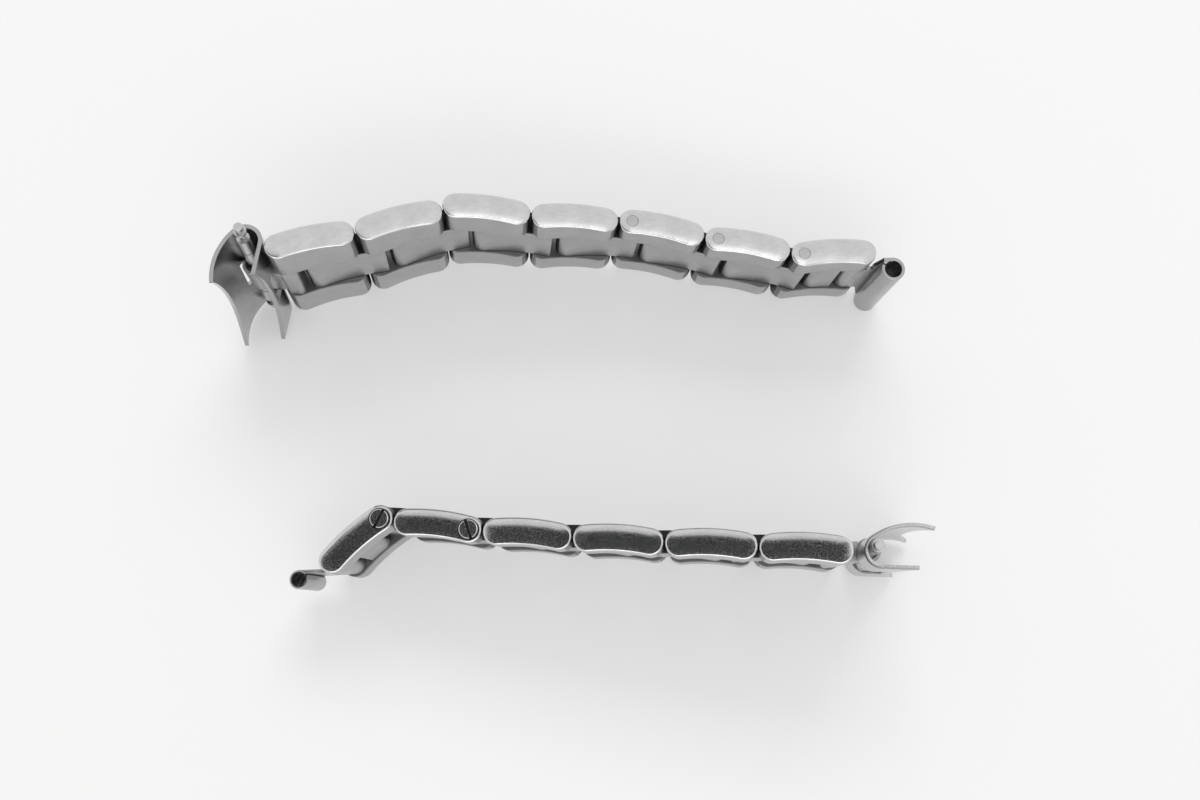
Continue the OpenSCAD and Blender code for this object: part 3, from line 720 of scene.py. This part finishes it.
def end_link(half):
    """Folded sheet with a hollowed edge for the case and a notch for the first centre link."""
    shell_centre = WRAP_CENTRE - (SHELL_RADIUS - WRAP_RADIUS) * direction(SHELL_JOIN)
    flap_way = Vector((math.sin(math.radians(FLAP_JOIN)), -math.cos(math.radians(FLAP_JOIN))))
    join = WRAP_CENTRE + WRAP_RADIUS * direction(FLAP_JOIN)
    flap_tip = join + FLAP_LENGTH * flap_way

    def case_x(tip_x, z):
        return -tip_x - math.sqrt(CASE_RADIUS ** 2 - END_HALF ** 2) + math.sqrt(CASE_RADIUS ** 2 - z ** 2)

    def section(z):
        """Outer and inner edge points of the folded sheet at this place across the bracelet."""
        outer, inner = [], []
        x = case_x(HORN_LENGTH, z)
        start = math.degrees(math.acos((x - shell_centre.x) / SHELL_RADIUS))
        for k in range(29):
            d = direction(start + (SHELL_JOIN - start) * k / 28)
            outer.append(shell_centre + SHELL_RADIUS * d)
            inner.append(shell_centre + (SHELL_RADIUS - SHEET) * d)
        for k in range(1, 31):
            d = direction(SHELL_JOIN + (FLAP_JOIN - SHELL_JOIN) * k / 30)
            outer.append(WRAP_CENTRE + WRAP_RADIUS * d)
            inner.append(WRAP_CENTRE + (WRAP_RADIUS - SHEET) * d)
        length = (case_x(-flap_tip.x, z) - join.x) / flap_way.x
        normal = direction(FLAP_JOIN)
        for k in range(1, 9):
            p = join + flap_way * (length * k / 8)
            outer.append(p)
            inner.append(p - SHEET * normal)
        return outer + list(reversed(inner))

    columns = 56
    vertices, faces = [], []
    for c in range(columns + 1):
        z = -END_HALF + 2 * END_HALF * c / columns
        vertices += [(p.x, p.y, z) for p in section(z)]
    count = len(vertices) // (columns + 1)
    for c in range(columns):
        a, b = c * count, (c + 1) * count
        for k in range(count):
            m = (k + 1) % count
            faces.append((a + k, a + m, b + m, b + k))
    loop = count // 2
    for c in (0, columns):
        a = c * count
        for k in range(loop - 1):
            faces.append((a + k, a + k + 1, a + count - 2 - k, a + count - 1 - k))
    mesh = consistent(new_mesh("end_link", vertices, faces))
    notch = box_mesh((-NOTCH_FRONT, -9, -NOTCH_WIDTH / 2), (9, 9, NOTCH_WIDTH / 2))
    mesh = cut(mesh, [notch])
    mesh = apply_modifiers(mesh, [("BEVEL", {"width": SHEET_ROUND, "segments": 3, "limit_method": "ANGLE",
                                             "angle_limit": math.radians(40)})])
    smooth(mesh, 30)
    name = f"{half.name}_end_link"
    return piece(name + "_look", mesh, f"{half.name}_end", [name], [M_SHEET],
                 half.bar(half.end, half.tilt))


def connector(half, *, leaf_length, tube_diameter, tube_bore, tube_length, shoulder_width):
    """Knuckle in the last row's fork, leaf, and a tube rolled from the leaf's sheet."""
    knuckle_half = centre_half(TAPER_ROWS) - SIDE_CLEARANCE / 2
    leaf_top = LEAF_SHEET - LEAF_KNUCKLE
    knuckle = broken_cylinder(LEAF_KNUCKLE, knuckle_half, KNUCKLE_BREAK)
    leaf_half = tube_length / 2 - TUBE_INSET
    plan = [(0, -knuckle_half), (LEAF_SHOULDER, -knuckle_half), (LEAF_SHOULDER, -shoulder_width / 2),
            (LEAF_FLARE_X, -leaf_half), (leaf_length, -leaf_half),
            (leaf_length, leaf_half), (LEAF_FLARE_X, leaf_half),
            (LEAF_SHOULDER, shoulder_width / 2), (LEAF_SHOULDER, knuckle_half), (0, knuckle_half)]
    leaf = extruded([Vector(p) for p in reversed(plan)], -0.02, LEAF_SHEET - 0.04, LEAF_ROUND)
    leaf.transform(Matrix.Translation((0, leaf_top - LEAF_SHEET + 0.04, 0)) @ Matrix.Rotation(-math.pi / 2, 4, "X"))
    leaf = consistent(leaf)
    radius, bore = tube_diameter / 2, tube_bore / 2
    centre = Vector((leaf_length, leaf_top - radius))
    gap = math.degrees(SEAM / radius) / 2
    outer = arc_points(centre, radius, SEAM_ANGLE + gap, SEAM_ANGLE + 360 - gap, 88)
    inner = arc_points(centre, bore, SEAM_ANGLE + 360 - gap * radius / bore, SEAM_ANGLE + gap * radius / bore, 88)
    tube = extruded(outer + inner, -tube_length / 2, tube_length / 2, TUBE_ROUND)
    mesh = join_meshes("connector", [knuckle, leaf, tube])
    smooth(mesh, 32)
    name = f"{half.name}_clasp_connector"
    return piece(name + "_look", mesh, f"{half.name}_clasp", [name], [M_CONNECTOR],
                 half.connector())


# Slots of the screws, in degrees, by row
for half, slots in ((UPPER, {5: 70, 6: 20, 7: 115}), (LOWER, {5: 65, 6: -22})):
    for row in range(1, len(half.headings) + 1):
        outer_pair(half, row)
        centre_piece(half, row)
        if row in slots:
            screw_piece(half, row, slots[row])
    first_link(half)
    end_link(half)
connector(UPPER, leaf_length=2.97, tube_diameter=2.4, tube_bore=1.75, tube_length=12.6, shoulder_width=8.6)
connector(LOWER, leaf_length=4.1, tube_diameter=1.9, tube_bore=1.4, tube_length=7.2,
          shoulder_width=2 * centre_half(TAPER_ROWS) - SIDE_CLEARANCE)

# CAD nodes that stay: pins, spring bars and springs
for name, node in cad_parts.items():
    if node.hide_render:
        continue
    node.data.materials.clear()
    node.data.materials.append(M_PIN_AND_NOSE_HIGHLIGHT if "pins" in name else M_BAR)


# Floor, cards, lights and camera

def plain_material(name, colour, roughness=0.9, glow=0.0):
    material = bpy.data.materials.new(name)
    material.use_nodes = True
    shader = material.node_tree.nodes["Principled BSDF"]
    shader.inputs["Base Color"].default_value = (*colour, 1)
    shader.inputs["Roughness"].default_value = roughness
    shader.inputs["Emission Color"].default_value = (1, 1, 1, 1)
    shader.inputs["Emission Strength"].default_value = glow
    return material


def card(name, centre, size, material):
    mesh = new_mesh(name, [(-0.5, -0.5, 0), (0.5, -0.5, 0), (0.5, 0.5, 0), (-0.5, 0.5, 0)], [(0, 1, 2, 3)])
    mesh.transform(Matrix.Diagonal((size[0], size[1], 1, 1)))
    obj = bpy.data.objects.new(name, mesh)
    bpy.context.scene.collection.objects.link(obj)
    mesh.materials.append(material)
    obj.location = centre
    return obj


floor = card("floor", (0, 0, 0), (3, 3), plain_material("floor", (0.5, 0.5, 0.497), 0.9, 0.3))
flag = card("flag", (-0.125, -0.02, 0.42), (0.29, 0.2), plain_material("flag", (0.02, 0.022, 0.022)))
flag.visible_camera = False
flag.visible_shadow = False
flag.visible_diffuse = False

softbox = card("softbox", (0.095, 0.02, 0.42), (0.09, 0.13), plain_material("softbox", (0, 0, 0), 1, 1.7))
softbox.visible_camera = False
softbox.visible_shadow = False
softbox.visible_diffuse = False

world = bpy.data.worlds.new("studio")
world.use_nodes = True
world.node_tree.nodes["Background"].inputs["Color"].default_value = (1, 1, 1, 1)
world.node_tree.nodes["Background"].inputs["Strength"].default_value = 0.88
bpy.context.scene.world = world


def area_light(name, place, target, size, power):
    light = bpy.data.lights.new(name, "AREA")
    light.shape = "RECTANGLE"
    light.size, light.size_y = size
    light.energy = power
    obj = bpy.data.objects.new(name, light)
    bpy.context.scene.collection.objects.link(obj)
    obj.location = place
    obj.rotation_euler = (Vector(target) - Vector(place)).to_track_quat("-Z", "Y").to_euler()
    return obj


window = area_light("window", (0.1, 0.55, 0.6), (0, 0, 0), (0.5, 0.3), 2.6)
window.visible_glossy = False
area_light("panel", (0.0, -0.5, 0.55), (0, 0, 0), (0.6, 0.2), 0.9)

camera_data = bpy.data.cameras.new("camera")
camera_data.sensor_fit = "HORIZONTAL"
camera_data.sensor_width = 36.0
camera_data.lens = 43.46
camera_data.clip_start = 0.01
camera = bpy.data.objects.new("camera", camera_data)
bpy.context.scene.collection.objects.link(camera)
camera.location = (0.003026, -0.028415, 0.15535)
camera.rotation_euler = (math.radians(10.94), 0, 0)
bpy.context.scene.camera = camera
bpy.context.scene.view_settings.view_transform = "Standard"
